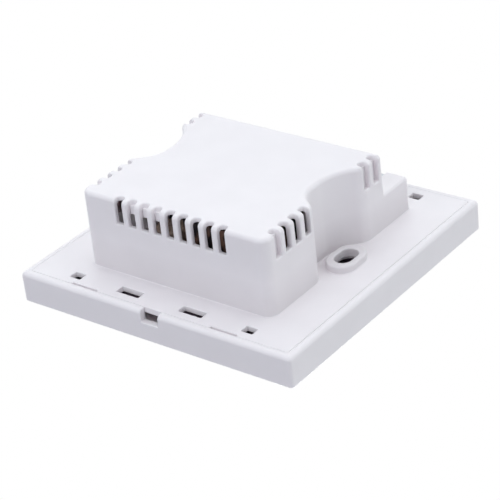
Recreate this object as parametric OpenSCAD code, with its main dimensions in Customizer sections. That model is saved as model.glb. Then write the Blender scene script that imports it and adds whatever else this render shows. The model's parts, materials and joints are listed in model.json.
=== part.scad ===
// Square 86 mm wall thermostat for a fan coil unit.
// Origin: centre of the rear plate's back surface, where it meets the wall.
// +X is to the right as seen from the front, +Y goes into the wall, +Z is up.

/* [Cover] */
// Width and height of the front cover
cover_w = 86; // [80:0.5:90]
// Depth of the cover's rim in front of the wall
rim_depth = 8.6; // [8.2:0.1:10]
// Thickness of the rim's wall
rim_wall = 2; // [1.6:0.1:2.4]
// Thickness of the cover's front face
face_t = 1.6; // [1.4:0.1:1.8]
// Radius of the cover's four corners
cover_corner = 1; // [0.5:0.5:4]
// Rounding of the rim's outer edge at the wall
rim_round = 1.2; // [0.4:0.2:1.6]
// Width of the notch for prying the cover off
notch_w = 5.5; // [4:0.5:10]
// How far the notch reaches forward from the wall
notch_depth = 3.4; // [2:0.2:4]

/* [Rear plate] */
// Gap between the plate's edge and the cover's rim
seam_gap = 0.2; // [0.15:0.05:0.4]
// Thickness of the rear plate
plate_t = 1.6; // [1.4:0.1:1.8]
// Distance between the two wall screws
screw_spacing = 60; // [56:1:66]
// Width of each wall-screw slot
slot_w = 4.8; // [4:0.2:5]
// Length of each wall-screw slot
slot_l = 7.4; // [6:0.2:8]
// Width of the raised ring around each slot
ring_w = 8.2; // [8:0.2:9]
// Length of the raised ring around each slot
ring_l = 12.2; // [11:0.2:13]
// Height of the raised ring above the plate
ring_h = 2; // [1.6:0.1:2.4]

/* [Box] */
// Width of the box that goes into the wall box
box_w = 58.4; // [58:0.2:60]
// Height of the box, from its lower wall to its upper wall
box_l = 61.6; // [60:0.2:63]
// Depth of the box behind the plate
box_h = 21.5; // [21:0.5:30]
// Wall thickness of the box
box_wall = 1.5; // [1.2:0.1:1.6]
// Radius of the box's two lower corners
box_corner = 2.8; // [1:0.2:3]
// Height of the step's face above the origin
step_z = 19.8; // [19.4:0.1:20]
// Depth of the low step that holds the terminals
step_h = 9.6; // [9.6:0.1:12]
// Depth of the recess that clears each screw lug of the wall box
recess_depth = 5.6; // [4:0.2:5.6]
// Length of each lug recess
recess_l = 20.4; // [16:0.2:20.4]

/* [Vents] */
// Distance from vent to vent
vent_pitch = 4.06; // [4:0.02:4.2]
// Width of each vent
vent_w = 2.3; // [1.6:0.1:2.8]
// Height above the plate at which the vents start
vent_start = 14.5; // [13:0.5:17]
// How far the vents reach over the back edge onto the back face
vent_over = 2.5; // [1.6:0.1:3]
// Number of vents in the lower wall
vent_count = 9; // [5:1:9]

/* [Display and buttons] */
// Width of the display opening
view_w = 60; // [54:1:60]
// Height of the display opening
view_h = 40; // [34:1:40]
// Height of the display's centre above the origin
view_z = 9; // [8:0.5:10]
// Distance from button to button
button_pitch = 13.5; // [13:0.1:14.5]
// Width of each button
button_w = 10; // [7:0.5:10.5]
// Height of each button
button_h = 5; // [4:0.5:6]
// Height of the button row above the origin
button_z = -25.5; // [-27:0.5:-24]
// How far a button moves when it is pressed
button_travel = 0.3; // [0.2:0.05:0.35]

/* [Terminals] */
// Distance from terminal to terminal
terminal_pitch = 7.62; // [7:0.01:7.62]
// Diameter of a terminal screw's thread
terminal_thread = 3; // [2.5:0.5:3]

/* [Hidden] */
$fn = 32;
eps = 0.05;

// Planes along Y
cover_front = -rim_depth;
face_back = cover_front + face_t;
plate_front = -plate_t;
display_board_front = -4.2;
display_board_t = 1.2;
display_board_back = display_board_front + display_board_t;
power_board_front = -0.6;
power_board_t = 1.6;
power_board_back = power_board_front + power_board_t;
roof_inner = box_h - box_wall;
partition_end = power_board_back + 0.2;

// Rear plate
plate_w = cover_w - 2 * (rim_wall + seam_gap);
clip_z = 37.2;
clip_hole_h = 2.6;
clip_shift = 0.5;
middle_clip_x = 10;
outer_clip_x = 27.5;
middle_clip_hole_w = 7.2;
outer_clip_hole_w = 3.4;
clip_post_w = 1.4;
snap_x = 22.2;
snap_w = 8.2;
snap_depth = 0.5;
screw_head_w = 6.8;
screw_head_l = 9.4;
screw_floor = ring_h - 2.4;

// Box and its recesses
box_half_w = box_w / 2;
box_half_l = box_l / 2;
inner_half_w = box_half_w - box_wall;
inner_low_z = -box_half_l + box_wall;
inner_high_z = step_z - box_wall;
mouth_high_z = box_half_l - 1.2;
recess_steps = 8;
upper_corner = 1;
terminal_bay_w = 46.6;
lower_vent_first_x = -15.75;
side_vent_z = [-25.4, -21.35, -17.3, -13.2, 12.75, 16.8];

// Screws of the two boards
pillar_r = 2.2;
lower_pillar = [25.8, -27.4];
upper_pillar = [25.5, 27];
pillar_end = 12;
board_screw_r = 1.1;
board_screw_head_r = 1.9;
pilot_r = 1.15;
board_screw_hole_r = 1.4;
display_boss_r = 2.5;
display_boss = [[-35.8, -29.5], [35.8, -29.5], [-35.8, 32], [35.8, 32]];
power_screws = [
    [-lower_pillar[0], lower_pillar[1]], lower_pillar,
    [-upper_pillar[0], upper_pillar[1]], upper_pillar
];

// Power board parts
transformer_size = [22, 17, 22];
transformer_pos = [-21.8, -26.2];
relay_size = [10.1, 12.3, 17.6];
relay_pitch = 10.8;
relay_z = -1.2;
header_x = 11.4;
header_z = -5.4;
header_pitch = 2.54;
header_count = 8;
header_pin_w = 0.64;
header_hole_w = 0.94;
header_socket_h = 8.5;
header_pin_end = 5.6;
capacitor_r = 4;
capacitor_h = 12;
capacitor_pos = [[6.6, -23], [6.6, -13.4]];

// Terminals
terminal_count = 6;
terminal_block_w = terminal_count * terminal_pitch;
terminal_block_z = [20.3, 29.4];
terminal_top = 9.4;
terminal_axis_z = 24.9;
terminal_head_r = 1.95;
terminal_head = [7.6, 9.1];
terminal_shank_end = 4.95;
cage_w = 5.6;
cage_z = [22.6, 27.2];
cage_y = [1.9, 5.9];
cage_window = [2.5, 4.9];
cage_side = 0.8;
cage_travel = 1.5;
contact_y = [4.2, 4.8];
contact_w = 3.2;
contact_pin_z = [20.6, 21.4];

// Display stack
lens_t = 1;
lens_border = 2;
lens_gap = 0.2;
holder_wall = 1.8;
glass_w = view_w + 2;
glass_h = view_h + 2;
glass_y = [-6.5, -5.1];
guide_w = 56;
guide_h = 36;
strip_h = 1.2;
display_board_w = 76;
display_board_z = [-33.5, 35.5];

// Buttons
button_count = 5;
button_gap = 0.25;
button_proud = 0.4;
flange_t = 0.35;
flange_border = 0.9;
switch_w = 5;
switch_top = -5.6;
plunger_r = 1.15;
plunger_top = -6.1;
plunger_end = -5.2;
plunger_bore_r = 1.2;
plunger_bore_end = -4.7;

function button_x(i) = (i - (button_count - 1) / 2) * button_pitch;
function terminal_x(i) = (i - (terminal_count - 1) / 2) * terminal_pitch;
function relay_x(i) = (i - 1.5) * relay_pitch;

// Arc of a rounded corner, counter-clockwise from angle a0
function corner_arc(x, z, r, a0, steps = 5) =
    [for (i = [0 : steps]) [x + r * cos(a0 + 90 * i / steps), z + r * sin(a0 + 90 * i / steps)]];

// Rectangle with rounded corners, from [x0, z0] to [x1, z1]
function round_rect(x0, z0, x1, z1, r) = concat(
    corner_arc(x1 - r, z1 - r, r, 0), corner_arc(x0 + r, z1 - r, r, 90),
    corner_arc(x0 + r, z0 + r, r, 180), corner_arc(x1 - r, z0 + r, r, 270));

// Depth of a lug recess at height z, for a recess that reaches half_l each way
function recess_at(z, half_l) = recess_depth * sqrt(max(0, 1 - pow(z / half_l, 2)));

// One side of the box's outline, from bottom to top, on the side of sign s
function recessed_side(s, half_w, half_l) = [
    for (i = [-recess_steps : recess_steps])
        let (z = half_l * sin(90 * i / recess_steps))
        [s * (half_w - recess_at(z, half_l)), z]
];

function reversed(points) = [for (i = [len(points) - 1 : -1 : 0]) points[i]];

// Outline of the box, with a recess in each side and lower corners of radius r
function box_outline(half_w, half_recess, z0, z1, r) = let (q = upper_corner) concat(
    corner_arc(half_w - r, z0 + r, r, 270), recessed_side(1, half_w, half_recess),
    corner_arc(half_w - q, z1 - q, q, 0), corner_arc(-half_w + q, z1 - q, q, 90),
    reversed(recessed_side(-1, half_w, half_recess)), corner_arc(-half_w + r, z0 + r, r, 180));

// Extrudes a drawing in X and Z from y0 to y1
module along_y(y0, y1) {
    translate([0, y1, 0]) rotate([90, 0, 0]) linear_extrude(y1 - y0) children();
}

// Block between two corners
module block(low, high) {
    translate(low) cube(high - low);
}

// Round bar along Y
module bar_y(x, z, r, y0, y1) {
    translate([x, y1, z]) rotate([90, 0, 0]) cylinder(r = r, h = y1 - y0);
}

// Upright slot with round ends
module upright_slot(x, z, w, l, y0, y1) {
    for (side = [-1, 1]) bar_y(x, z + side * (l - w) / 2, w / 2, y0, y1);
    block([x - w / 2, y0, z - (l - w) / 2], [x + w / 2, y1, z + (l - w) / 2]);
}

// Rounded rectangle centred on x and z
module pad(x, z, w, h, r, y0, y1) {
    along_y(y0, y1) polygon(round_rect(x - w / 2, z - h / 2, x + w / 2, z + h / 2, r));
}

// ---- Rear housing ----

module box_block(half_w, half_recess, z0, z1, r, y0, y1) {
    along_y(y0, y1) polygon(box_outline(half_w, half_recess, z0, z1, r));
}

module box_shell() {
    difference() {
        union() {
            box_block(box_half_w, recess_l / 2, -box_half_l, step_z, box_corner, -eps, box_h);
            box_block(box_half_w, recess_l / 2, -box_half_l, box_half_l, box_corner, -eps, step_h);
        }
        box_block(inner_half_w, recess_l / 2 + box_wall, inner_low_z, inner_high_z, 1,
            -plate_t - 1, roof_inner);
        block([-terminal_bay_w / 2, partition_end, step_z + 0.2],
            [terminal_bay_w / 2, step_h + 1, box_half_l + 1]);
    }
}

module board_pillars() {
    for (side = [-1, 1]) {
        bar_y(side * lower_pillar[0], lower_pillar[1], pillar_r, power_board_back, pillar_end);
        bar_y(side * upper_pillar[0], upper_pillar[1], pillar_r, power_board_back, step_h - 1);
    }
}

module vents() {
    for (i = [0 : vent_count - 1])
        translate([lower_vent_first_x + i * vent_pitch - vent_w / 2, vent_start, -box_half_l - 1])
            cube([vent_w, box_h, 1 + vent_over]);
    for (side = [-1, 1], z = side_vent_z)
        translate([side * box_half_w - (side > 0 ? vent_over : 1), vent_start, z - vent_w / 2])
            cube([1 + vent_over, box_h, vent_w]);
}

module clip_holes() {
    translate([clip_shift, 0, 0]) for (row = [-1, 1], side = [-1, 1]) {
        pad(side * middle_clip_x, row * clip_z, middle_clip_hole_w, clip_hole_h, 0.3,
            plate_front - 1, 1);
        pad(side * outer_clip_x, row * clip_z, outer_clip_hole_w, clip_hole_h, 0.3,
            plate_front - 1, 1);
        translate([side * snap_x - snap_w / 2, plate_front - 1, row * plate_w / 2 - snap_depth])
            cube([snap_w, plate_t + 2, 2 * snap_depth]);
    }
}

module rear_housing() {
    color("whitesmoke") difference() {
        union() {
            difference() {
                union() {
                    pad(0, 0, plate_w, plate_w, 1, plate_front, 0);
                    box_shell();
                    for (side = [-1, 1])
                        upright_slot(side * screw_spacing / 2, 0, ring_w, ring_l, -eps, ring_h);
                }
                box_block(inner_half_w, recess_l / 2 + box_wall, inner_low_z, mouth_high_z, 1,
                    plate_front - 1, partition_end);
            }
            board_pillars();
        }
        for (side = [-1, 1]) {
            upright_slot(side * screw_spacing / 2, 0, slot_w, slot_l, plate_front - 1, ring_h + 1);
            upright_slot(side * screw_spacing / 2, 0, screw_head_w, screw_head_l,
                plate_front - 1, screw_floor);
        }
        for (spot = power_screws)
            bar_y(spot[0], spot[1], pilot_r, power_board_back - 1, power_board_back + 6.4);
        vents();
        clip_holes();
    }
}

// ---- Power board and what is soldered to it ----

module header_spots() {
    for (i = [0 : header_count - 1])
        translate([header_x + (i - (header_count - 1) / 2) * header_pitch, 0, header_z])
            children();
}

module power_board() {
    color("darkgreen") difference() {
        box_block(inner_half_w - 0.4, recess_l / 2 + box_wall + 0.4, inner_low_z + 0.4,
            mouth_high_z - 0.4, 1, power_board_front, power_board_back);
        for (spot = power_screws)
            bar_y(spot[0], spot[1], board_screw_hole_r, power_board_front - 1, power_board_back + 1);
        header_spots()
            block([-header_hole_w / 2, power_board_front - 1, -header_hole_w / 2],
                [header_hole_w / 2, power_board_back + 1, header_hole_w / 2]);
        for (i = [0 : terminal_count - 1])
            block([terminal_x(i) - 0.6, power_board_front - 1, contact_pin_z[0] - 0.1],
                [terminal_x(i) + 0.6, power_board_back + 1, contact_pin_z[1] + 0.1]);
    }
}

// Pan-head screw along Y: its head is at the front of y, its shank runs to y + l
module board_screw(spot, y, l, head_t) {
    difference() {
        bar_y(spot[0], spot[1], board_screw_head_r, y - head_t, y);
        for (turn = [0, 90])
            translate([spot[0], y - head_t, spot[1]]) rotate([0, turn, 0])
                cube([2.4, 1, 0.5], center = true);
    }
    bar_y(spot[0], spot[1], board_screw_r, y, y + l);
}

module power_board_screws() {
    color("silver") for (spot = power_screws) board_screw(spot, power_board_front, 7, 0.95);
}

module transformer() {
    low = [transformer_pos[0], power_board_back, transformer_pos[1]];
    color("darkslategray") union() {
        difference() {
            pad(low[0] + transformer_size[0] / 2, low[2] + transformer_size[2] / 2,
                transformer_size[0], transformer_size[2], 1, low[1] + 0.4, low[1] + transformer_size[1]);
            pad(low[0] + transformer_size[0] / 2, low[2] + transformer_size[2] / 2,
                transformer_size[0] - 3, transformer_size[2] - 3, 0.8,
                low[1] + transformer_size[1] - 0.6, low[1] + transformer_size[1] + 1);
        }
        for (x = [1.5, transformer_size[0] - 1.5], z = [1.5, transformer_size[2] - 1.5])
            bar_y(low[0] + x, low[2] + z, 0.8, low[1], low[1] + 1);
    }
}

module relay(i) {
    difference() {
        pad(relay_x(i), relay_z + relay_size[2] / 2, relay_size[0], relay_size[2], 0.5,
            power_board_back + 0.3, power_board_back + relay_size[1]);
        bar_y(relay_x(i) + 3.4, relay_z + 1.7, 0.5,
            power_board_back + relay_size[1] - 0.4, power_board_back + relay_size[1] + 1);
    }
    for (x = [-3.6, 3.6], z = [1.4, relay_size[2] - 1.4])
        bar_y(relay_x(i) + x, relay_z + z, 0.6, power_board_back, power_board_back + 1);
}

module low_fan_relay() { color("royalblue") relay(0); }

module medium_fan_relay() { color("royalblue") relay(1); }

module high_fan_relay() { color("royalblue") relay(2); }

module valve_relay() { color("royalblue") relay(3); }

// Electrolytic can with a groove above its seal
module smoothing_capacitors() {
    y = power_board_back;
    color("dimgray") for (spot = capacitor_pos)
        translate([spot[0], y, spot[1]]) rotate([-90, 0, 0]) rotate_extrude()
            polygon([[0, 0], [capacitor_r, 0], [capacitor_r, 1.4], [capacitor_r - 0.4, 1.8],
                [capacitor_r - 0.4, 2.2], [capacitor_r, 2.6], [capacitor_r, capacitor_h - 0.3],
                [capacitor_r - 0.3, capacitor_h], [0, capacitor_h]]);
}

module filter_capacitor() {
    color("goldenrod") pad(17.1, -24.6, 12, 5.6, 0.6, power_board_back, power_board_back + 12);
}

module varistor() {
    color("steelblue") union() {
        translate([22, power_board_back + 6.6, -16.6]) rotate([0, 0, 90]) rotate([90, 0, 0])
            cylinder(r = 4.6, h = 3.6, center = true);
        for (z = [-2.5, 2.5]) bar_y(22, -16.6 + z, 0.35, power_board_back, power_board_back + 4);
    }
}

module fuse() {
    color("saddlebrown") union() {
        pad(15.4, -17.4, 8, 4, 0.8, power_board_back + 0.3, power_board_back + 7.6);
        for (x = [-2.5, 2.5]) bar_y(15.4 + x, -17.4, 0.3, power_board_back, power_board_back + 1);
    }
}

module bridge_rectifier() {
    color("black") pad(15, -11.2, 8, 6, 0.3, power_board_back, power_board_back + 3);
}

module voltage_regulator() {
    color("black") union() {
        pad(-25, 14.6, 3.6, 4.6, 0.2, power_board_back, power_board_back + 2.3);
        pad(-22.7, 14.6, 1, 3.8, 0.1, power_board_back, power_board_back + 0.8);
    }
}

// Axial resistors with a thinner middle, lying along Z
module resistors() {
    y = power_board_back + 1.25;
    color("burlywood") for (spot = [[23, 14.7], [25.8, 14.7], [25.9, -17.5]])
        translate([spot[0], y, spot[1]]) rotate_extrude()
            polygon([[0, -2.5], [1, -2.5], [1.2, -2.2], [1.2, -1.5], [0.95, -1.2],
                [0.95, 1.2], [1.2, 1.5], [1.2, 2.2], [1, 2.5], [0, 2.5]]);
}

module header_socket() {
    color("black") difference() {
        pad(header_x, header_z, header_count * header_pitch + 0.2, 2.5, 0.1,
            power_board_back, power_board_back + header_socket_h);
        header_spots()
            block([-header_hole_w / 2, power_board_back - 1, -header_hole_w / 2],
                [header_hole_w / 2, power_board_back + header_socket_h - 1, header_hole_w / 2]);
    }
}

// ---- Terminals ----

module terminal_block() {
    color("gainsboro") difference() {
        block([-terminal_block_w / 2, power_board_back, terminal_block_z[0]],
            [terminal_block_w / 2, terminal_top, terminal_block_z[1]]);
        for (i = [0 : terminal_count - 1]) {
            x = terminal_x(i);
            // Room for the cage and its travel
            block([x - cage_w / 2 - 0.2, cage_y[0] - 0.3, cage_z[0] - 0.3],
                [x + cage_w / 2 + 0.2, cage_y[1] + cage_travel + 0.1, cage_z[1] + 0.3]);
            // Wire entry
            block([x - 2.3, cage_window[0] - 0.3, cage_z[1]],
                [x + 2.3, contact_y[1] + 0.6, terminal_block_z[1] + 1]);
            // Screwdriver hole
            bar_y(x, terminal_axis_z, terminal_head_r + 0.06, cage_y[1], terminal_top + 1);
            // Slot for the fixed contact and its pin
            block([x - contact_w / 2 - 0.05, contact_y[0] - 0.05, contact_pin_z[0] - 0.05],
                [x + contact_w / 2 + 0.05, contact_y[1] + 0.05, cage_z[0]]);
            block([x - 0.6, power_board_back - 1, contact_pin_z[0] - 0.05],
                [x + 0.6, contact_y[0], contact_pin_z[1] + 0.05]);
            // Grooves between the poles
            if (i > 0)
                block([x - terminal_pitch / 2 - 0.35, terminal_top - 3, terminal_block_z[0] - 1],
                    [x - terminal_pitch / 2 + 0.35, terminal_top + 1, terminal_block_z[0] + 2]);
        }
    }
}

// Fixed contact bars, each with a pin down through the board
module terminal_contacts() {
    color("gold") for (i = [0 : terminal_count - 1]) {
        x = terminal_x(i);
        block([x - contact_w / 2, contact_y[0], contact_pin_z[0]],
            [x + contact_w / 2, contact_y[1], cage_z[1]]);
        block([x - 0.5, power_board_front - 0.7, contact_pin_z[0]],
            [x + 0.5, contact_y[1], contact_pin_z[1]]);
    }
}

module terminal_screw(i) {
    x = terminal_x(i - 1);
    color("silver") difference() {
        union() {
            bar_y(x, terminal_axis_z, terminal_head_r, terminal_head[0], terminal_head[1]);
            bar_y(x, terminal_axis_z, terminal_thread / 2, terminal_shank_end, terminal_head[1]);
        }
        translate([x, terminal_head[1], terminal_axis_z]) cube([5, 1.2, 0.7], center = true);
    }
}

// Cage nut that rises and clamps the wire under the fixed contact
module terminal_cage(i) {
    x = terminal_x(i - 1);
    color("lightgray") difference() {
        block([x - cage_w / 2, cage_y[0], cage_z[0]], [x + cage_w / 2, cage_y[1], cage_z[1]]);
        block([x - cage_w / 2 + cage_side, cage_window[0], cage_z[0] - 1],
            [x + cage_w / 2 - cage_side, cage_window[1], cage_z[1] + 1]);
        bar_y(x, terminal_axis_z, terminal_thread / 2 + 0.05, cage_window[1] - 0.2, cage_y[1] + 1);
    }
}

// ---- Front cover and display ----

// Solid outline of the cover, with its rear outer edge rounded
module cover_body() {
    half = cover_w / 2;
    hull() {
        pad(0, 0, cover_w, cover_w, cover_corner, cover_front, -rim_round);
        for (a = [30, 60, 90]) {
            inset = rim_round * (1 - cos(a));
            top = -rim_round * (1 - sin(a));
            pad(0, 0, 2 * (half - inset), 2 * (half - inset), cover_corner, top - 0.02, top);
        }
    }
}

module snap_ribs() {
    inner = cover_w / 2 - rim_wall;
    for (row = [-1, 1], side = [-1, 1])
        translate([clip_shift + side * snap_x, -1.4, row * (inner - 0.1)])
            cube([snap_w - 1.4, 0.9, 0.7], center = true);
}

module front_cover() {
    inner = cover_w - 2 * rim_wall;
    color("white") difference() {
        union() {
            difference() {
                cover_body();
                pad(0, 0, inner, inner, 0.8, face_back, 1);
            }
            for (spot = display_boss)
                bar_y(spot[0], spot[1], display_boss_r, face_back - eps, display_board_front);
            for (row = [-1, 1], side = [-1, 1])
                pad(clip_shift + side * middle_clip_x, row * clip_z, clip_post_w, 1.5, 0.3,
                    face_back - eps, -1.2);
            snap_ribs();
        }
        pad(0, view_z, view_w, view_h, 1, cover_front - 1, 0);
        pad(0, view_z, view_w + 2 * lens_border, view_h + 2 * lens_border, 1.6,
            cover_front - 1, cover_front + lens_t);
        for (i = [0 : button_count - 1])
            pad(button_x(i), button_z, button_w + 2 * button_gap, button_h + 2 * button_gap,
                button_h / 2, cover_front - 1, 0);
        for (spot = display_boss)
            bar_y(spot[0], spot[1], pilot_r, face_back, 0);
        block([-notch_w / 2, -notch_depth, -cover_w / 2 - 1],
            [notch_w / 2, 1, -cover_w / 2 + rim_wall + 0.5]);
    }
}

module display_window() {
    w = view_w + 2 * (lens_border - lens_gap);
    h = view_h + 2 * (lens_border - lens_gap);
    color("lightcyan", 0.5) pad(0, view_z, w, h, 1.4, cover_front, cover_front + lens_t);
}

module lcd_glass() {
    color("lightsteelblue") union() {
        pad(0, view_z, glass_w, glass_h, 0.3, glass_y[0], glass_y[0] + 0.7);
        pad(0, view_z, glass_w, glass_h - 3, 0.3, glass_y[0] + 0.7, glass_y[1]);
    }
}

module lcd_holder() {
    w = glass_w + 0.4;
    h = glass_h + 0.4;
    color("white") difference() {
        pad(0, view_z, w + 2 * holder_wall, h + 2 * holder_wall, 1, glass_y[0], display_board_front);
        pad(0, view_z, w, h, 0.3, glass_y[0] - 1, display_board_front + 1);
    }
}

module light_guide() {
    color("ivory") pad(0, view_z, guide_w, guide_h, 0.5, glass_y[1], display_board_front - 0.05);
}

module elastomer_strips() {
    color("hotpink") for (side = [-1, 1])
        translate([0, 0, view_z + side * (glass_h / 2 - 0.8)])
            block([-guide_w / 2, glass_y[0] + 0.75, -strip_h / 2],
                [guide_w / 2, display_board_front, strip_h / 2]);
}

module backlight_leds() {
    color("lightyellow") for (z = [-8, 8])
        block([guide_w / 2 + 0.2, -4.9, view_z + z - 1.5],
            [guide_w / 2 + 1.2, display_board_front, view_z + z + 1.5]);
}

module display_board() {
    color("green") difference() {
        along_y(display_board_front, display_board_back)
            polygon(round_rect(-display_board_w / 2, display_board_z[0], display_board_w / 2,
                display_board_z[1], 1));
        for (spot = display_boss)
            bar_y(spot[0], spot[1], board_screw_hole_r, display_board_front - 1, 0);
        header_spots()
            block([-header_hole_w / 2, display_board_front - 1, -header_hole_w / 2],
                [header_hole_w / 2, 0, header_hole_w / 2]);
    }
}

module display_board_screws() {
    color("silver") for (spot = display_boss) rotate([0, 0, 180])
        board_screw([-spot[0], spot[1]], -display_board_back, 2.8, 0.9);
}

// Flat chip with leads on all four sides
module controller_chip() {
    y = display_board_back;
    color("black") union() {
        pad(-8, 4, 10, 10, 0.2, y + 0.1, y + 1.1);
        for (turn = [0 : 3]) translate([-8, 0, 4]) rotate([0, 90 * turn, 0])
            for (k = [-5 : 5]) block([4.8, y, k * 0.8 - 0.15], [5.9, y + 0.25, k * 0.8 + 0.15]);
    }
}

module clock_crystal() {
    color("silver") pad(2, 9, 3.2, 1.6, 0.3, display_board_back, display_board_back + 0.8);
}

// Sensor bead on two leads below the board's lower edge
module temperature_sensor() {
    y = (display_board_front + display_board_back) / 2;
    color("black") union() {
        translate([20, y, display_board_z[0] - 3]) sphere(r = 1.1);
        for (x = [-0.6, 0.6])
            translate([20 + x, y, display_board_z[0] - 3]) cylinder(r = 0.25, h = 3);
    }
}

module header_pins() {
    color("gold") header_spots()
        block([-header_pin_w / 2, display_board_front + 0.1, -header_pin_w / 2],
            [header_pin_w / 2, header_pin_end, header_pin_w / 2]);
}

module switch_bodies() {
    color("dimgray") for (i = [0 : button_count - 1]) difference() {
        pad(button_x(i), button_z, switch_w, switch_w, 0.4, switch_top, display_board_front);
        bar_y(button_x(i), button_z, plunger_bore_r, switch_top - 1, plunger_bore_end);
    }
}

// ---- Buttons ----

module button_cap(i) {
    pad(button_x(i), button_z, button_w, button_h, button_h / 2 - 0.2,
        cover_front - button_proud, plunger_top);
    pad(button_x(i), button_z, button_w + 2 * flange_border, button_h + 2 * flange_border,
        button_h / 2, face_back + 0.05, face_back + 0.05 + flange_t);
}

module plunger(i) {
    bar_y(button_x(i), button_z, plunger_r, plunger_top, plunger_end);
}

module power_button() { color("gainsboro") button_cap(0); }

module mode_button() { color("gainsboro") button_cap(1); }

module fan_button() { color("gainsboro") button_cap(2); }

module down_button() { color("gainsboro") button_cap(3); }

module up_button() { color("gainsboro") button_cap(4); }

module power_plunger() { color("black") plunger(0); }

module mode_plunger() { color("black") plunger(1); }

module fan_plunger() { color("black") plunger(2); }

module down_plunger() { color("black") plunger(3); }

module up_plunger() { color("black") plunger(4); }

rear_housing();
power_board();
power_board_screws();
transformer();
low_fan_relay();
medium_fan_relay();
high_fan_relay();
valve_relay();
smoothing_capacitors();
filter_capacitor();
varistor();
fuse();
bridge_rectifier();
voltage_regulator();
resistors();
header_socket();
terminal_block();
terminal_contacts();
terminal_screw(1);  // terminal_screw_1
terminal_screw(2);  // terminal_screw_2
terminal_screw(3);  // terminal_screw_3
terminal_screw(4);  // terminal_screw_4
terminal_screw(5);  // terminal_screw_5
terminal_screw(6);  // terminal_screw_6
terminal_cage(1);  // terminal_cage_1
terminal_cage(2);  // terminal_cage_2
terminal_cage(3);  // terminal_cage_3
terminal_cage(4);  // terminal_cage_4
terminal_cage(5);  // terminal_cage_5
terminal_cage(6);  // terminal_cage_6
front_cover();
display_window();
lcd_glass();
light_guide();
lcd_holder();
elastomer_strips();
backlight_leds();
display_board();
display_board_screws();
controller_chip();
clock_crystal();
temperature_sensor();
header_pins();
switch_bodies();
power_button();
mode_button();
fan_button();
down_button();
up_button();
power_plunger();
mode_plunger();
fan_plunger();
down_plunger();
up_plunger();
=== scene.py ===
"""Looks of the square wall thermostat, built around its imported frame.

The two moulded shells are made as smooth solids from closed-form distance functions, so that every
edge has its moulded radius. The other parts keep their CAD shape, with bevels, finishes and detail.
Lengths are in millimetres until a mesh is made: x right from the front, y into the wall, z up.
"""

import json
import math

import bmesh
import bpy
import numpy as np
from mathutils import Matrix, Vector


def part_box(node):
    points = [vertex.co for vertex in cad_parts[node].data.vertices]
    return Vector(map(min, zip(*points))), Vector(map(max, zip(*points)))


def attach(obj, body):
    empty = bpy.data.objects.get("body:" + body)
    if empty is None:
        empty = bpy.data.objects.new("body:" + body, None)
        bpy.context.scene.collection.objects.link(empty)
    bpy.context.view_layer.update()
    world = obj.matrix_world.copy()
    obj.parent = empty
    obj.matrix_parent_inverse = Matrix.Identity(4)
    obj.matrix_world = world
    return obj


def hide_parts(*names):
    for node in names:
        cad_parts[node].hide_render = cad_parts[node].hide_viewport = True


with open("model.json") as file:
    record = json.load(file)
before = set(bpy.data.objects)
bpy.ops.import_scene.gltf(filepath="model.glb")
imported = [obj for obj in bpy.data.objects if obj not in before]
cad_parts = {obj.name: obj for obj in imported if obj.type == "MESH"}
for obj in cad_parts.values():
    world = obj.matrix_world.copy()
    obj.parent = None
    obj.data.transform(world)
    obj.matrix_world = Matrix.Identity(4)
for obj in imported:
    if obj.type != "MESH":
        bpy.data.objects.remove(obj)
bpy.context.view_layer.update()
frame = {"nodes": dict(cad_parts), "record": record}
nodes = frame["nodes"]
MM = 0.001


def box_mm(node):
    """Lowest and highest corner of a CAD node in millimetres."""
    return [np.array(corner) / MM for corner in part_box(node)]


# ---- Sizes, from the frame and from the part's own layout ----

HOUSING_LOW, HOUSING_HIGH = box_mm("rear_housing")
COVER_LOW, COVER_HIGH = box_mm("front_cover")
PLATE_HALF = HOUSING_HIGH[0]
PLATE_T = -HOUSING_LOW[1]
BOX_H = HOUSING_HIGH[1]
COVER_HALF = COVER_HIGH[0]
RIM_DEPTH = -COVER_LOW[1]

BOX_HALF_W, BOX_HALF_L, WALL, SIDE_WALL = 29.2, 30.8, 1.5, 1.75
STEP_Z, STEP_H = 19.8, 9.6
BOX_CORNER, UPPER_CORNER, BACK_ROUND, STEP_ROUND, FOOT = 2.8, 1.0, 1.25, 0.8, 0.4
SEAM_FILL = 0.17  # the plate is drawn this much wider on each side, so that its seam is a hairline
DRAFT, STEP_DRAFT = 0.008, 0.022
RECESS_FLOOR = 23.6
SLOT_X, SLOT_HALF = 30.0, (2.4, 3.7)
RING_HALF, RING_H = (4.1, 6.1), 2.0
HEAD_HALF, HEAD_FLOOR = (3.4, 4.7), -0.4
VENT_HALF, VENT_PITCH, VENT_START, VENT_OVER = 1.15, 4.06, 14.5, 2.5
VENT_FIRST_X, VENT_COUNT = -15.75, 9
SIDE_VENT_Z = (-25.4, -21.35, -17.3, -13.2, 12.75, 16.8)
CLIP_Z, CLIP_HALF_H, CLIP_SHIFT = 37.2, 1.3, 0.5
CLIPS = ((10.0, 3.6), (27.5, 1.7))
SNAP_X, SNAP_HALF = 22.2, 4.1
# Thin screens behind some of the vents: how far in their middles are, behind the sides and the end
SCREEN_IN, SCREEN_HALF, SCREEN_REACH = (2.0, 2.1), 0.5, 1.7
SCREENED = (SIDE_VENT_Z[0], SIDE_VENT_Z[4], SIDE_VENT_Z[5])
END_SCREEN_X, END_SCREEN_START = (2.5, 14.8), 17.6
PILLARS = ((25.8, -27.4, 12.0), (25.5, 27.0, 8.6))
PILLAR_R, BOSS_R, PILOT_R, PILOT_DEPTH = 2.2, 2.5, 1.15, 6.4
BAY_HALF_W, BAY_START = 22.97, 20.22
BOARD_BACK = 1.0

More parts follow.
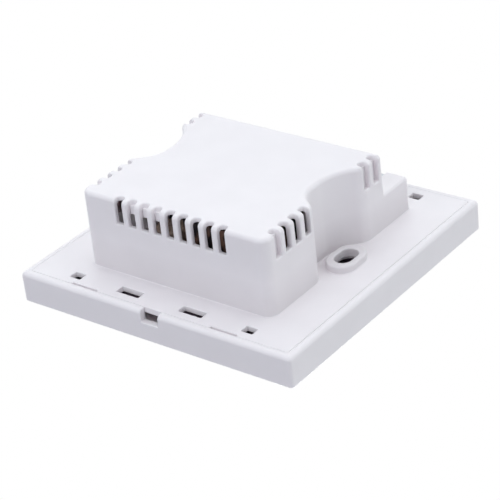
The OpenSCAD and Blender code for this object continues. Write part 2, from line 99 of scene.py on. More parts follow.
RIM_WALL, FACE_T = 2.0, 1.6
VIEW_Z, VIEW_HALF = 9.0, (30.0, 20.0)
LENS_HALF, LENS_T = (32.0, 22.0), 1.0
KEY_Z, KEY_PITCH, KEY_HALF, KEY_GAP = -25.5, 13.5, (5.0, 2.5), 0.25
BOSS_X, BOSS_Z, BOSS_END = 35.8, (-29.5, 32.0), -4.2
POST_END = -1.6
NOTCH_HALF, NOTCH_DEPTH = 2.75, 3.4

KEYS = ("power", "mode", "fan", "down", "up")


# ---- Distance functions: negative inside, with rounded edges where two of them meet ----


def rect(u, v, half_u, half_v, r):
    qu, qv = np.abs(u) - half_u + r, np.abs(v) - half_v + r
    return np.hypot(np.maximum(qu, 0), np.maximum(qv, 0)) + np.minimum(np.maximum(qu, qv), 0) - r


def upright_slot(u, v, half_u, half_v):
    return np.hypot(u, np.maximum(np.abs(v) - half_v + half_u, 0)) - half_u


def span(v, low, high):
    return np.maximum(low - v, v - high)


def both(a, b, r):
    """What is in a and in b, with the edge between them rounded to r."""
    return np.minimum(np.maximum(a, b), -r) + np.hypot(np.maximum(a + r, 0), np.maximum(b + r, 0))


def cut(a, b, r):
    """a without b, with the edge of the cut rounded to r."""
    return both(a, -b, r)


def join(a, b, r):
    """a and b together, with a fillet of radius r between them."""
    return np.maximum(np.minimum(a, b), r) - np.hypot(np.maximum(r - a, 0), np.maximum(r - b, 0))


def box_outline(ax, z, top):
    """Plan of the box up to height top, with a pocket in each side that clears a screw lug."""
    middle, half = (top - BOX_HALF_L) / 2, (top + BOX_HALF_L) / 2
    body = rect(ax, z - middle, BOX_HALF_W, half, np.where(z > middle, UPPER_CORNER, BOX_CORNER))
    near = z < 0
    flat, slope = np.where(near, 6.3, 5.2), np.where(near, 0.8, 1.0)
    sides = (np.abs(z) - flat - slope * (ax - RECESS_FLOOR)) / np.hypot(1, slope)
    return cut(body, both(RECESS_FLOOR - ax, sides, np.where(near, 2.2, 3.65)), 1.2)


def vent_plan(x, z):
    """Plan of the vents: each runs over the back edge and ends in a round end on the back face."""
    nearest = np.clip(np.round((x - VENT_FIRST_X) / VENT_PITCH), 0, VENT_COUNT - 1)
    across = np.abs(x - VENT_FIRST_X - nearest * VENT_PITCH) - VENT_HALF
    lower = both(across, z + BOX_HALF_L - VENT_OVER, 1.05)
    offset = np.minimum.reduce([np.abs(z - at) for at in SIDE_VENT_Z]) - VENT_HALF
    side = both(offset, BOX_HALF_W - VENT_OVER - np.abs(x), 1.05)
    return np.minimum(lower, side)


def housing_field(x, y, z):
    ax, az = np.abs(x), np.abs(z)
    tall_plan = box_outline(ax, z, STEP_Z)
    low_plan = box_outline(ax, z, BOX_HALF_L)
    taper = DRAFT * (y - BOX_H / 2)
    plate_edge = PLATE_HALF + SEAM_FILL
    plate = both(rect(x, z, plate_edge, plate_edge, 0.6), span(y, -PLATE_T, 0), 0.07)
    step_wall = z - STEP_Z + taper + STEP_DRAFT * np.maximum(y - STEP_H, 0)
    box = both(np.maximum(low_plan + taper, -1 - y), join(step_wall, y - STEP_H, FOOT), STEP_ROUND)
    box = both(box, y - BOX_H, BACK_ROUND)
    ring = both(upright_slot(ax - SLOT_X, z, *RING_HALF), span(y, -1, RING_H), 0.5)
    body = join(join(plate, box, FOOT), ring, 0.3)

    cavity = both(np.maximum(tall_plan + WALL, ax - BOX_HALF_W + SIDE_WALL), y - BOX_H + WALL, 0.6)
    mouth = both(low_plan + WALL, y - BOARD_BACK - 0.2, 0.2)
    bay = both(both(ax - BAY_HALF_W, BAY_START - z, 0.2), BOARD_BACK - 0.1 - y, 0.2)
    body = cut(body, np.minimum(cavity, mouth), 0.2)
    body = cut(body, bay, 0.15)
    for px, pz, end in PILLARS:
        across = np.hypot(ax - px, z - pz)
        body = join(body, both(across - PILLAR_R, span(y, BOARD_BACK, end), 0.2), 0.3)
        body = cut(body, np.maximum(across - PILOT_R, y - BOARD_BACK - PILOT_DEPTH), 0.1)

    body = cut(body, both(vent_plan(x, z), VENT_START - y, 0.35), 0.4)
    screen_end = BOX_H - WALL + 0.2
    along = np.minimum.reduce([np.abs(z - at) for at in SCREENED]) - SCREEN_REACH
    screen = np.maximum(np.abs(ax - BOX_HALF_W + SCREEN_IN[0]) - SCREEN_HALF, along)
    body = join(body, both(screen, span(y, VENT_START - 0.5, screen_end), 0.1), 0.1)
    screen = np.maximum(np.abs(z + BOX_HALF_L - SCREEN_IN[1]) - SCREEN_HALF, span(x, *END_SCREEN_X))
    body = join(body, both(screen, span(y, END_SCREEN_START, screen_end), 0.1), 0.1)
    body = cut(body, upright_slot(ax - SLOT_X, z, *SLOT_HALF), 0.3)
    body = cut(body, np.maximum(upright_slot(ax - SLOT_X, z, *HEAD_HALF), y - HEAD_FLOOR), 0.2)
    row = np.abs(x - CLIP_SHIFT)
    for at, half in CLIPS:
        body = cut(body, rect(row - at, az - CLIP_Z, half, CLIP_HALF_H, 0.3), 0.2)
    snap = np.maximum(np.abs(row - SNAP_X) - SNAP_HALF, PLATE_HALF - 0.5 - az)
    return cut(body, np.maximum(snap, np.where(z > 0, y + 0.85, -1)), 0.1)


def cover_field(x, y, z):
    ax, az = np.abs(x), np.abs(z)
    plan = rect(x, z, COVER_HALF, COVER_HALF, 1.0)
    body = both(both(plan, y, 1.25), -RIM_DEPTH - y, 0.4)
    inner, inside = COVER_HALF - RIM_WALL, FACE_T - RIM_DEPTH
    body = cut(body, both(rect(x, z, inner, inner, 0.6), inside - y, 0.3), 0.07)
    for at in BOSS_Z:
        across = np.hypot(ax - BOSS_X, z - at)
        body = join(body, both(across - BOSS_R, span(y, inside - 0.4, BOSS_END), 0.15), 0.3)
        body = cut(body, np.maximum(across - PILOT_R, inside - y), 0.15)
    row = np.abs(x - CLIP_SHIFT)
    post = rect(row - CLIPS[0][0], az - CLIP_Z, 0.7, 0.75, 0.3)
    body = join(body, both(post, span(y, inside - 0.4, POST_END), 0.2), 0.3)
    rib = np.maximum(np.abs(row - SNAP_X) - SNAP_HALF + 0.7, span(az, inner - 0.45, inner + 0.25))
    body = join(body, both(rib, np.abs(y + 1.4) - 0.45, 0.15), 0.1)
    body = cut(body, rect(x, z - VIEW_Z, *VIEW_HALF, 1.0), 0.15)
    body = cut(body, np.maximum(rect(x, z - VIEW_Z, *LENS_HALF, 1.6), y + RIM_DEPTH - LENS_T), 0.2)
    key = x - np.clip(np.round(x / KEY_PITCH), -2, 2) * KEY_PITCH
    body = cut(body, rect(key, z - KEY_Z, KEY_HALF[0] + KEY_GAP, KEY_HALF[1] + KEY_GAP, 2.5), 0.25)
    notch = both(both(ax - NOTCH_HALF, -NOTCH_DEPTH - y, 0.3), z + inner - 0.5, 0.1)
    return cut(body, notch, 0.2)


# ---- Meshes from distance functions ----


def ticks(low, high, coarse, zones, scale):
    """Grid lines from low to high: close together in the zones (start, end, step), wider elsewhere."""
    lines = [low]
    while lines[-1] < high:
        at = lines[-1]
        steps = [step * scale + 0.3 * max(start - at, at - end, 0) for start, end, step in zones]
        lines.append(at + min(coarse * scale, *steps))
    return np.array(lines)


def mirrored(zones):
    return [*zones, *((-end, -start, step) for start, end, step in zones)]


def gradient(field, p, step=0.002):
    out = np.empty_like(p)
    for axis in range(3):
        shift = np.zeros(3)
        shift[axis] = step
        ahead, behind = (p + shift).T, (p - shift).T
        out[:, axis] = (field(*ahead) - field(*behind)) / (2 * step)
    return out


def surface_net(field, lines):
    """Vertices where field is 0, one in each grid cell that its surface crosses, and their quads."""
    x, y, z = lines
    values = field(x[:, None, None], y[None, :, None], z[None, None, :])
    inside = values < 0
    crossed = np.zeros(np.array(values.shape) - 1, bool)
    corners = [(i, j, k) for i in (0, 1) for j in (0, 1) for k in (0, 1)]

    def corner_of(array, c):
        return array[tuple(slice(o, n - 1 + o) for o, n in zip(c, values.shape))]

    first = corner_of(inside, (0, 0, 0))
    for c in corners[1:]:
        crossed |= corner_of(inside, c) != first
    cells = np.argwhere(crossed)
    total, count = np.zeros((len(cells), 3)), np.zeros((len(cells), 1))
    for a in corners:
        for axis in range(3):
            if a[axis]:
                continue
            ia = cells + np.array(a)
            ib = ia.copy()
            ib[:, axis] += 1
            va, vb = values[tuple(ia.T)], values[tuple(ib.T)]
            hit = (va < 0) != (vb < 0)
            share = np.where(hit, va / np.where(hit, va - vb, 1), 0)[:, None]
            pa = np.stack([line[ia[:, n]] for n, line in enumerate(lines)], 1)
            pb = np.stack([line[ib[:, n]] for n, line in enumerate(lines)], 1)
            total += np.where(hit[:, None], pa + share * (pb - pa), 0)
            count += hit[:, None]
    points = total / count
    for _ in range(3):
        slope = gradient(field, points)
        move = field(*points.T)[:, None] * slope / np.maximum((slope**2).sum(1, keepdims=True), 0.05)
        points -= np.clip(move, -0.25, 0.25)

    number = np.full(crossed.shape, -1, np.int64)
    number[tuple(cells.T)] = np.arange(len(cells))
    quads = []
    for axis in range(3):
        u, v = (axis + 1) % 3, (axis + 2) % 3
        low = [slice(1, -1)] * 3
        low[axis] = slice(0, -1)
        high = list(low)
        high[axis] = slice(1, None)
        here, there = inside[tuple(low)], inside[tuple(high)]
        start = np.argwhere(here != there)
        outward = here[here != there]
        start[:, u] += 1
        start[:, v] += 1
        ring = []
        for du, dv in ((-1, -1), (0, -1), (0, 0), (-1, 0)):
            cell = start.copy()
            cell[:, u] += du
            cell[:, v] += dv
            ring.append(number[tuple(cell.T)])
        ring = np.stack(ring, 1)
        quads.append(np.where(outward[:, None], ring, ring[:, ::-1]))
    return points, np.concatenate(quads)


def add_mesh(name, points, faces):
    """Object with a mesh of these points, in millimetres, and faces."""
    mesh = bpy.data.meshes.new(name)
    mesh.from_pydata((np.asarray(points, float) * MM).tolist(), [], [list(f) for f in faces])
    mesh.validate()
    obj = bpy.data.objects.new(name, mesh)
    bpy.context.scene.collection.objects.link(obj)
    return obj


MERGE_TILE = 5.0  # flat faces are merged within blocks of this size, which keeps the merging fast


def moulding(name, field, lines):
    """A moulded shell: flat areas merged into large faces, shaded with the field's own normals."""
    points, quads = surface_net(field, lines)
    obj = add_mesh(name, points, quads.tolist())
    mesh = obj.data
    tile = np.floor(points[quads].mean(1) / MERGE_TILE).astype(int) @ (1, 3, 5) % 8
    mesh.polygons.foreach_set("material_index", tile)
    bm = bmesh.new()
    bm.from_mesh(mesh)
    bmesh.ops.dissolve_limit(
        bm, angle_limit=math.radians(0.06), verts=bm.verts, edges=bm.edges, delimit={"MATERIAL"}
    )
    for face in bm.faces:
        face.material_index = 0
    bm.to_mesh(mesh)
    bm.free()
    co = np.empty(len(mesh.vertices) * 3)
    mesh.vertices.foreach_get("co", co)
    normals = gradient(field, co.reshape(-1, 3) / MM)
    normals /= np.linalg.norm(normals, axis=1, keepdims=True)
    mesh.shade_smooth()
    mesh.normals_split_custom_set_from_vertices(normals.tolist())
    return obj


def edge_zones(places, reach, step):
    return [(at - reach, at + reach, step) for at in places]


def housing_lines(scale):
    vents_end = VENT_FIRST_X + (VENT_COUNT - 1) * VENT_PITCH
    rows = [at + s * half for at, half in (*CLIPS, (SNAP_X, SNAP_HALF)) for s in (-1, 1)]
    x = mirrored(
        [(PLATE_HALF - 0.1, PLATE_HALF + 0.2, 0.12), (RECESS_FLOOR - 0.3, SLOT_X + 4.4, 0.28)]
        + [(BOX_HALF_W - 1.2, BOX_HALF_W + 0.3, 0.18)]
    ) + [(VENT_FIRST_X - 1.8, vents_end + 1.8, 0.2)]
    x += edge_zones([CLIP_SHIFT + side * at for side in (-1, 1) for at in rows], 0.2, 0.14)
    z = mirrored([(CLIP_Z - 1.5, CLIP_Z + 1.5, 0.2), (PLATE_HALF - 0.8, PLATE_HALF + 0.2, 0.13)]) + [
        (-BOX_HALF_L - 0.5, -BOX_HALF_L + 1.4, 0.15),
        (-BOX_HALF_L + 1.4, -BOX_HALF_L + 3.2, 0.2),
        (SIDE_VENT_Z[0] - 1.7, SIDE_VENT_Z[3] + 1.7, 0.2),
        (-11.5, SIDE_VENT_Z[4] - 1.7, 0.28),
        (SIDE_VENT_Z[4] - 1.7, STEP_Z + 0.5, 0.2),
        (BOX_HALF_L - 1.6, BOX_HALF_L + 0.4, 0.16),
    ]
    y = [
        (-PLATE_T - 0.1, -PLATE_T + 0.3, 0.1),
        (-0.3, 0.6, 0.12),
        (0.6, RING_H + 0.1, 0.16),
        (STEP_H - 1, STEP_H + 0.5, 0.15),
        (VENT_START - 0.5, VENT_START + 0.6, 0.13),
        (BOX_H - WALL - 0.7, BOX_H + 0.1, 0.14),
    ]
    edge = PLATE_HALF + 0.6
    return (
        ticks(-edge, edge, 2.0, x, scale),
        ticks(-PLATE_T - 0.5, BOX_H + 0.5, 1.5, y, scale),
        ticks(-edge, edge, 2.0, z, scale),
    )


def cover_lines(scale):
    inner = COVER_HALF - RIM_WALL
    half, key_ends = KEY_HALF[0] + KEY_GAP, []
    for at in (n * KEY_PITCH for n in range(3)):
        key_ends += [(at - half - 0.3, at - half + 2.6, 0.26), (at + half - 2.6, at + half + 0.3, 0.26)]
    x = mirrored(
        [(inner - 0.6, inner + 0.4, 0.16), (COVER_HALF - 1.4, COVER_HALF + 0.1, 0.15)]
        + key_ends
        + edge_zones([VIEW_HALF[0], LENS_HALF[0]], 0.3, 0.16)
        + [(BOSS_X - 2.9, BOSS_X + 2.9, 0.3), (NOTCH_HALF - 0.3, NOTCH_HALF + 0.3, 0.15)]
    )
    for side in (-1, 1):
        post = CLIP_SHIFT + side * CLIPS[0][0]
        ribs = [CLIP_SHIFT + side * (SNAP_X + s * (SNAP_HALF - 0.7)) for s in (-1, 1)]
        x += [(post - 1.1, post + 1.1, 0.2), *edge_zones(ribs, 0.3, 0.15)]
    z = mirrored(
        [(inner - 0.6, inner + 0.5, 0.14), (COVER_HALF - 1.4, COVER_HALF + 0.1, 0.15)]
        + [(CLIP_Z - 1.1, CLIP_Z + 1.1, 0.22)]
    ) + edge_zones([VIEW_Z + s * h for s in (-1, 1) for h in (VIEW_HALF[1], LENS_HALF[1])], 0.4, 0.16)
    z += [(KEY_Z - 3.1, KEY_Z + 3.1, 0.26)] + [(at - 2.9, at + 2.9, 0.3) for at in BOSS_Z]
    y = [
        (-RIM_DEPTH - 0.1, -RIM_DEPTH + 0.5, 0.12),
        (-RIM_DEPTH + 0.8, -RIM_DEPTH + 2.1, 0.14),
        (-4.5, -3.9, 0.14),
        (-NOTCH_DEPTH - 0.3, -NOTCH_DEPTH + 0.4, 0.14),
        (-2.0, 0.1, 0.13),
    ]
    edge = COVER_HALF + 0.6
    return (
        ticks(-edge, edge, 2.0, x, scale),
        ticks(-RIM_DEPTH - 0.5, 0.5, 1.5, y, scale),
        ticks(-edge, edge, 2.0, z, scale),
    )


# ---- Materials ----


class Finish:
    """Builds a material's nodes round one Principled shader. Texture scales are in millimetres."""

    def __init__(self, name, **sockets):
        self.material = bpy.data.materials.new(name)
        self.material.use_nodes = True
        self.tree = self.material.node_tree
        self.shader = self.tree.nodes["Principled BSDF"]
        for socket, value in sockets.items():
            self.shader.inputs[socket.replace("_", " ")].default_value = value
        place = self.tree.nodes.new("ShaderNodeTexCoord")
        per_mm = (1 / MM,) * 3
        self.place = self.node("ShaderNodeMapping", Vector=place.outputs["Object"], Scale=per_mm).outputs[0]
        self.height = None

    def node(self, kind, **inputs):
        made = self.tree.nodes.new(kind)
        for key, value in inputs.items():
            socket = made.inputs[int(key[1:])] if key[0] == "_" else made.inputs[key.replace("_", " ")]
            if isinstance(value, bpy.types.NodeSocket):
                self.tree.links.new(value, socket)
            else:
                socket.default_value = value
        return made

    def noise(self, size, detail=2.0, stretch=(1, 1, 1), roughness=0.5):
        place = self.node("ShaderNodeMapping", Vector=self.place, Scale=stretch).outputs[0]
        return self.node("ShaderNodeTexNoise", Vector=place, Scale=1 / size, Detail=detail,
                         Roughness=roughness).outputs["Fac"]

    def ramp(self, factor, low, high, start=0.35, end=0.65):
        made = self.node("ShaderNodeValToRGB", Fac=factor)
        stops = made.color_ramp.elements
        stops[0].position, stops[1].position = start, end
        stops[0].color, stops[1].color = (*low, 1), (*high, 1)
        return made.outputs["Color"]

    def level(self, factor, low, high):
        made = self.node("ShaderNodeMapRange", Value=factor, _1=0.3, _2=0.7, _3=low, _4=high)
        return made.outputs[0]

    def math(self, operation, a, b=0.0):
        made = self.tree.nodes.new("ShaderNodeMath")
        made.operation = operation
        for socket, value in zip(made.inputs, (a, b)):
            if isinstance(value, bpy.types.NodeSocket):
                self.tree.links.new(value, socket)
            else:
                socket.default_value = value
        return made.outputs[0]

    def axis(self, name):
        return self.node("ShaderNodeSeparateXYZ", Vector=self.place).outputs[name]

    def feed(self, socket, value):
        self.tree.links.new(value, self.shader.inputs[socket])

    def bump(self, height, depth):
        """Adds a relief of that depth, in millimetres."""
        made = self.node("ShaderNodeBump", Height=height, Strength=1.0, Distance=depth * MM)
        if self.height is not None:
            self.tree.links.new(self.height, made.inputs["Normal"])
        self.height = made.outputs[0]
        self.feed("Normal", self.height)


def shade(colour, factor):
    return tuple(c * factor for c in colour)


def moulded(name, colour, roughness, grain=0.12, depth=0.004, mottle=0.04, **sockets):
    """Moulded plastic: a fine spark-eroded grain, slight flow marks and uneven gloss."""
    f = Finish(name, **sockets)
    f.feed("Base Color", f.ramp(f.noise(9.0, 3.0), shade(colour, 1 - mottle), colour))
    f.feed("Roughness", f.level(f.noise(2.2, 4.0), roughness - 0.05, roughness + 0.06))
    f.bump(f.noise(grain, 3.0, roughness=0.6), depth)
    f.bump(f.noise(14.0, 1.0), depth * 4)
    return f


def shell(name, roughness):
    """White moulding that lets a little light through. At the foot of the housing's walls its colour is
    darkened: painted shade.
    """
    f = moulded(name, ABS, roughness, mottle=0.02, Subsurface_Weight=0.25, Subsurface_Scale=1.2 * MM)
    f.shader.inputs["Subsurface Radius"].default_value = (1.0, 0.95, 0.95)
    y = f.axis("Y")
    # Painted shade: the colour is scaled from 0.84 at y = 0.3 mm up to full at y = 9.4 mm, darkening the
    # foot of the housing's walls; the plate below y = 0.2 mm and the cover keep their full colour.
    foot = f.node("ShaderNodeMapRange", Value=y, _1=0.3, _2=9.4, _3=0.84, _4=1.0).outputs[0]
    colour = f.shader.inputs["Base Color"].links[0].from_socket
    shaded = f.tree.nodes.new("ShaderNodeVectorMath")
    shaded.operation = "SCALE"
    f.tree.links.new(colour, shaded.inputs[0])
    f.tree.links.new(f.math("MAXIMUM", foot, f.math("LESS_THAN", y, 0.2)), shaded.inputs["Scale"])
    f.feed("Base Color", shaded.outputs[0])
    return f


def sleeve(name):
    """Shrink sleeve, dark at the foot and pale towards its top."""
    f = Finish(name)
    height = f.math("MULTIPLY", f.axis("Y"), 0.05)
    f.feed("Base Color", f.ramp(height, (0.03, 0.02, 0.02), (0.62, 0.46, 0.38), 0.42, 0.5))
    f.feed("Roughness", f.level(f.noise(1.5, 3.0), 0.22, 0.34))
    f.bump(f.noise(0.3, 3.0), 0.003)
    return f


def metal(name, colour, roughness, streak=(1, 1, 1), **sockets):
    f = Finish(name, Metallic=1.0, **sockets)
    f.feed("Base Color", f.ramp(f.noise(1.4, 4.0), shade(colour, 0.82), colour))
    f.feed("Roughness", f.level(f.noise(0.25, 3.0, streak), roughness - 0.08, roughness + 0.12))
    f.bump(f.noise(0.2, 3.0, streak), 0.003)
    return f


def wound(name, dark, light):
    """Winding under tape: bands of lacquered wire and paper."""
    f = Finish(name)
    bands = f.noise(2.6, 2.0, (1, 0.45, 1))
    f.feed("Base Color", f.ramp(bands, dark, light, 0.46, 0.56))
    f.feed("Roughness", f.level(f.noise(1.5, 3.0), 0.3, 0.5))
    f.bump(f.noise(0.25, 2.0, (0.2, 1, 1)), 0.02)
    return f


def circuit_board(name, colour):
    """Solder mask over copper: straight runs of track and patches show through slightly lighter."""
    f = Finish(name, Coat_Weight=0.35, Coat_Roughness=0.12)
    cells = f.node("ShaderNodeTexVoronoi", Vector=f.place, Scale=0.32, Randomness=0.55)
    cells.distance = "CHEBYCHEV"
    bands = f.node("ShaderNodeTexWave", Vector=f.place, Scale=0.42, Distortion=0.0)
    bands.bands_direction = "DIAGONAL"
    runs = f.math("GREATER_THAN", bands.outputs["Fac"], 0.55)
    islands = f.math("LESS_THAN", cells.outputs["Distance"], 0.42)
    patches = f.math("LESS_THAN", f.noise(7.0, 1.0), 0.45)
    copper = f.math("MAXIMUM", f.math("MULTIPLY", runs, islands), patches)
    f.feed("Base Color", f.ramp(copper, colour, tuple(min(1, c * 1.7 + 0.01) for c in colour), 0.4, 0.6))
    f.feed("Roughness", f.level(f.noise(0.8, 3.0), 0.28, 0.42))
    f.bump(copper, 0.03)
    f.bump(f.noise(0.15, 2.0), 0.003)
    return f


def clear(name, colour, roughness, ior):
    f = Finish(name, Transmission_Weight=1.0, IOR=ior)
    f.feed("Base Color", f.ramp(f.noise(20.0, 1.0), shade(colour, 0.98), colour))
    f.feed("Roughness", f.level(f.noise(6.0, 3.0), roughness, roughness + 0.02))
    return f


# The plastic is warm and the light is cool: outer faces look white, and recesses slightly pink.
ABS = (0.89, 0.84, 0.86)
DAYLIGHT = (0.898, 0.952, 0.977)


def make_finishes():
    finishes = {
        "housing": shell("abs_housing_painted_foot_shade", 0.42),
        "cover": shell("abs_cover", 0.40),
        "power_board": circuit_board("solder_mask_power", (0.035, 0.16, 0.07)),
        "display_board": circuit_board("solder_mask_display", (0.075, 0.045, 0.072)),
        "steel": metal("zinc_plated_steel", (0.62, 0.63, 0.66), 0.3),
        "transformer": wound("taped_winding", (0.012, 0.009, 0.012), (0.2, 0.11, 0.08)),
        "relay": moulded("relay_case", (0.03, 0.022, 0.02), 0.35),
        "capacitor_sleeve": sleeve("shrink_sleeve"),
        "film_capacitor": moulded("film_capacitor_case", (0.66, 0.6, 0.62), 0.4),
        "varistor": moulded("varistor_dip", (0.3, 0.16, 0.12), 0.3, grain=0.5, depth=0.02),
        "fuse": moulded("fuse_case", (0.16, 0.06, 0.03), 0.3),
        "chip": moulded("moulded_epoxy", (0.02, 0.02, 0.02), 0.5, grain=0.08, depth=0.004),
        "resistor": moulded("resistor_lacquer", (0.5, 0.34, 0.2), 0.3, grain=0.3, depth=0.01),
        "connector": moulded("connector_moulding", (0.02, 0.02, 0.02), 0.4),
        "terminal_plastic": moulded("terminal_moulding", (0.72, 0.72, 0.75), 0.4),
        "brass": metal("tinned_brass", (0.78, 0.6, 0.3), 0.25),
        "cage": metal("nickel_plate", (0.6, 0.59, 0.55), 0.28),
        "lens": clear("acrylic_window", (0.97, 0.98, 0.98), 0.02, 1.49),
        "lcd": moulded("lcd_polariser", (0.29, 0.35, 0.31), 0.14, depth=0.001),
        "light_guide": moulded("light_guide", (0.75, 0.8, 0.86), 0.3),
        "holder": moulded("lcd_frame", (0.75, 0.75, 0.77), 0.45),
        "elastomer": moulded("elastomer", (0.45, 0.2, 0.24), 0.6),
        "led": moulded("led_resin", (0.8, 0.75, 0.45), 0.2),
        "can": metal("crystal_can", (0.72, 0.72, 0.74), 0.18),
        "sensor": moulded("sensor_bead", (0.02, 0.02, 0.02), 0.25, grain=0.4, depth=0.02),
        "switch": moulded("switch_case", (0.03, 0.03, 0.03), 0.45),
        "plunger": moulded("switch_plunger", (0.05, 0.05, 0.05), 0.4),
        "button": moulded("key_cap", (0.62, 0.63, 0.66), 0.38, mottle=0.03),
        "window_print": moulded("window_print", (0.015, 0.016, 0.018), 0.3, depth=0.001),
        "lcd_ink": moulded("lcd_ink", (0.02, 0.022, 0.03), 0.4, depth=0.001),
        "key_print": moulded("key_print", (0.16, 0.17, 0.2), 0.5, depth=0.002),
        "solder": metal("solder", (0.66, 0.66, 0.66), 0.3),
        "ceramic": moulded("ceramic_capacitor", (0.42, 0.3, 0.2), 0.45, depth=0.003),
    }
    return {name: f.material for name, f in finishes.items()}


# ---- Shells ----

finishes = make_finishes()
slot_of = {row["node"]: row["material_slot"] for row in frame["record"]["subparts"]}


def dress(obj, slot_name):
    obj.data.materials.clear()
    obj.data.materials.append(finishes[slot_name])


def stand_in(obj, node, body):
    """obj takes the place of a CAD node."""
    dress(obj, slot_of[node])
    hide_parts(node)
    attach(obj, body)


detail = 1.35
stand_in(moulding("rear_housing_shell", housing_field, housing_lines(detail)), "rear_housing", "rear")
stand_in(moulding("front_cover_shell", cover_field, cover_lines(detail)), "front_cover", "front")

# ---- Small solids: outlines, lofts and thin printed shapes ----


def close(obj, sharp=40):
    """Turns every face outwards and shades all edges smooth up to that angle."""
    bm = bmesh.new()
    bm.from_mesh(obj.data)
    bmesh.ops.recalc_face_normals(bm, faces=bm.faces)
    bm.to_mesh(obj.data)
    bm.free()
    obj.data.shade_smooth()
    obj.data.set_sharp_from_angle(angle=math.radians(sharp))
    return obj


def round_outline(half_u, half_v, r, steps=8):
    points = []
    for n, (su, sv) in enumerate(((1, 1), (-1, 1), (-1, -1), (1, -1))):
        for i in range(steps + 1):
            a = math.radians(90 * (n + i / steps))
            points.append((su * (half_u - r) + r * math.cos(a), sv * (half_v - r) + r * math.sin(a)))
    return points


def sides(n, low, high):
    """Faces between two rings of n points, which start at the indices low and high."""
    return [(low + i, low + (i + 1) % n, high + (i + 1) % n, high + i) for i in range(n)]


def loft(name, rings, centre, hollow=False):
    """Solid through rings (y, half width, half height, corner radius), round a centre (x, z)."""
    points, faces = [], []
    for y, half_u, half_v, r in rings:
        points += [(centre[0] + u, y, centre[1] + v) for u, v in round_outline(half_u, half_v, r)]
    n = len(points) // len(rings)
    for k in range(len(rings) if hollow else len(rings) - 1):
        after = (k + 1) % len(rings)
        faces += sides(n, k * n, after * n)
    if not hollow:
        faces += [tuple(range(n)), tuple(range(len(points) - n, len(points)))]
    return close(add_mesh(name, points, faces))


def slabs(name, shapes, front, back):
    """Thin prisms with these outlines in x and z."""
    points, faces = [], []
    for shape in shapes:
        start, n = len(points), len(shape)
        points += [(u, y, v) for y in (front, back) for u, v in shape]
        faces += [tuple(range(start, start + n)), tuple(range(start + n, start + 2 * n))]
        faces += sides(n, start, start + n)
    return close(add_mesh(name, points, faces))


def moved(shape, u, v, size=1.0):
    return [(u + size * a, v + size * b) for a, b in shape]


def turned(shape, degrees):
    c, s = math.cos(math.radians(degrees)), math.sin(math.radians(degrees))
    return [(a * c - b * s, a * s + b * c) for a, b in shape]


def bar(u, v, length, width, angle=0.0):
    """Bar with pointed ends, as in a display segment."""
    half, w = length / 2, width / 2
    shape = ((-half, 0), (w - half, -w), (half - w, -w), (half, 0), (half - w, w), (w - half, w))
    return moved(turned(shape, angle), u, v)


def band(u, v, inner, outer, start, end, steps=16):
    """Part of a ring, from one angle to another."""
    turns = [math.radians(start + (end - start) * i / steps) for i in range(steps + 1)]
    arc = [(u + outer * math.cos(a), v + outer * math.sin(a)) for a in turns]
    return arc + [(u + inner * math.cos(a), v + inner * math.sin(a)) for a in reversed(turns)]


SEGMENTS = {"0": "abcdef", "1": "bc", "2": "abged", "3": "abgcd", "5": "afgcd"}


def digit(text, u, v, height):
    """Seven-segment digit with its centre at u, v."""
    half, w = height / 4, height * 0.11
    places = {
        "a": (0, 2 * half, 0), "g": (0, 0, 0), "d": (0, -2 * half, 0),
        "f": (-half, half, 90), "b": (half, half, 90), "e": (-half, -half, 90), "c": (half, -half, 90),
    }
    return [
        bar(u + places[k][0], v + places[k][1], 2 * half - 0.04 * height, w, places[k][2])
        for k in SEGMENTS[text]
    ]


def fan_icon():
    blade = ((0.22, -0.16), (0.5, -0.42), (0.88, -0.4), (1.0, -0.05), (0.85, 0.22), (0.5, 0.1), (0.2, 0.14))
    return [*(turned(blade, angle) for angle in (90, 210, 330)), band(0, 0, 0.02, 0.16, 0, 359, 12)]


def frost_icon():
    arms = [bar(0, 0, 2.0, 0.2, angle) for angle in (30, 90, 150)]
    fork = [moved(turned(bar(0.12, 0, 0.42, 0.14), side), 0.62, 0) for side in (50, -50)]
    return arms + [turned(twig, angle) for angle in range(30, 390, 60) for twig in fork]


def key_icon(name):
    if name == "power":
        return [band(0, 0, 0.68, 0.9, 122, 418, 24), bar(0, 0.55, 0.95, 0.24, 90)]
    if name == "mode":
        return frost_icon()
    if name == "fan":
        return fan_icon()
    tip = 0.75 if name == "up" else -0.75
    return [[(-0.95, -0.6 * tip), (0, 0.9 * tip), (0.95, -0.6 * tip)]]


# ---- Front: window, its print, the display's characters and the keys ----


def add_piece(obj, finish, body):
    obj.data.materials.append(finishes[finish])
    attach(obj, body)


FRONT = -RIM_DEPTH
lens_rings = [(y, LENS_HALF[0] - inset, LENS_HALF[1] - inset, 1.6 - inset) for y, inset in (
    (FRONT + 0.94, 0.3), (FRONT + 0.9, 0.2), (FRONT + 0.15, 0.2), (FRONT + 0.04, 0.26), (FRONT, 0.38))]
stand_in(loft("display_window_pane", lens_rings, (0, VIEW_Z)), "display_window", "front")

print_rings = [(FRONT + y, LENS_HALF[0] - inset, LENS_HALF[1] - inset, 1.4) for y, inset in (
    (0.99, 0.25), (0.95, 0.25), (0.95, 4.6), (0.99, 4.6))]
add_piece(loft("window_print", print_rings, (0, VIEW_Z), hollow=True), "window_print", "front")

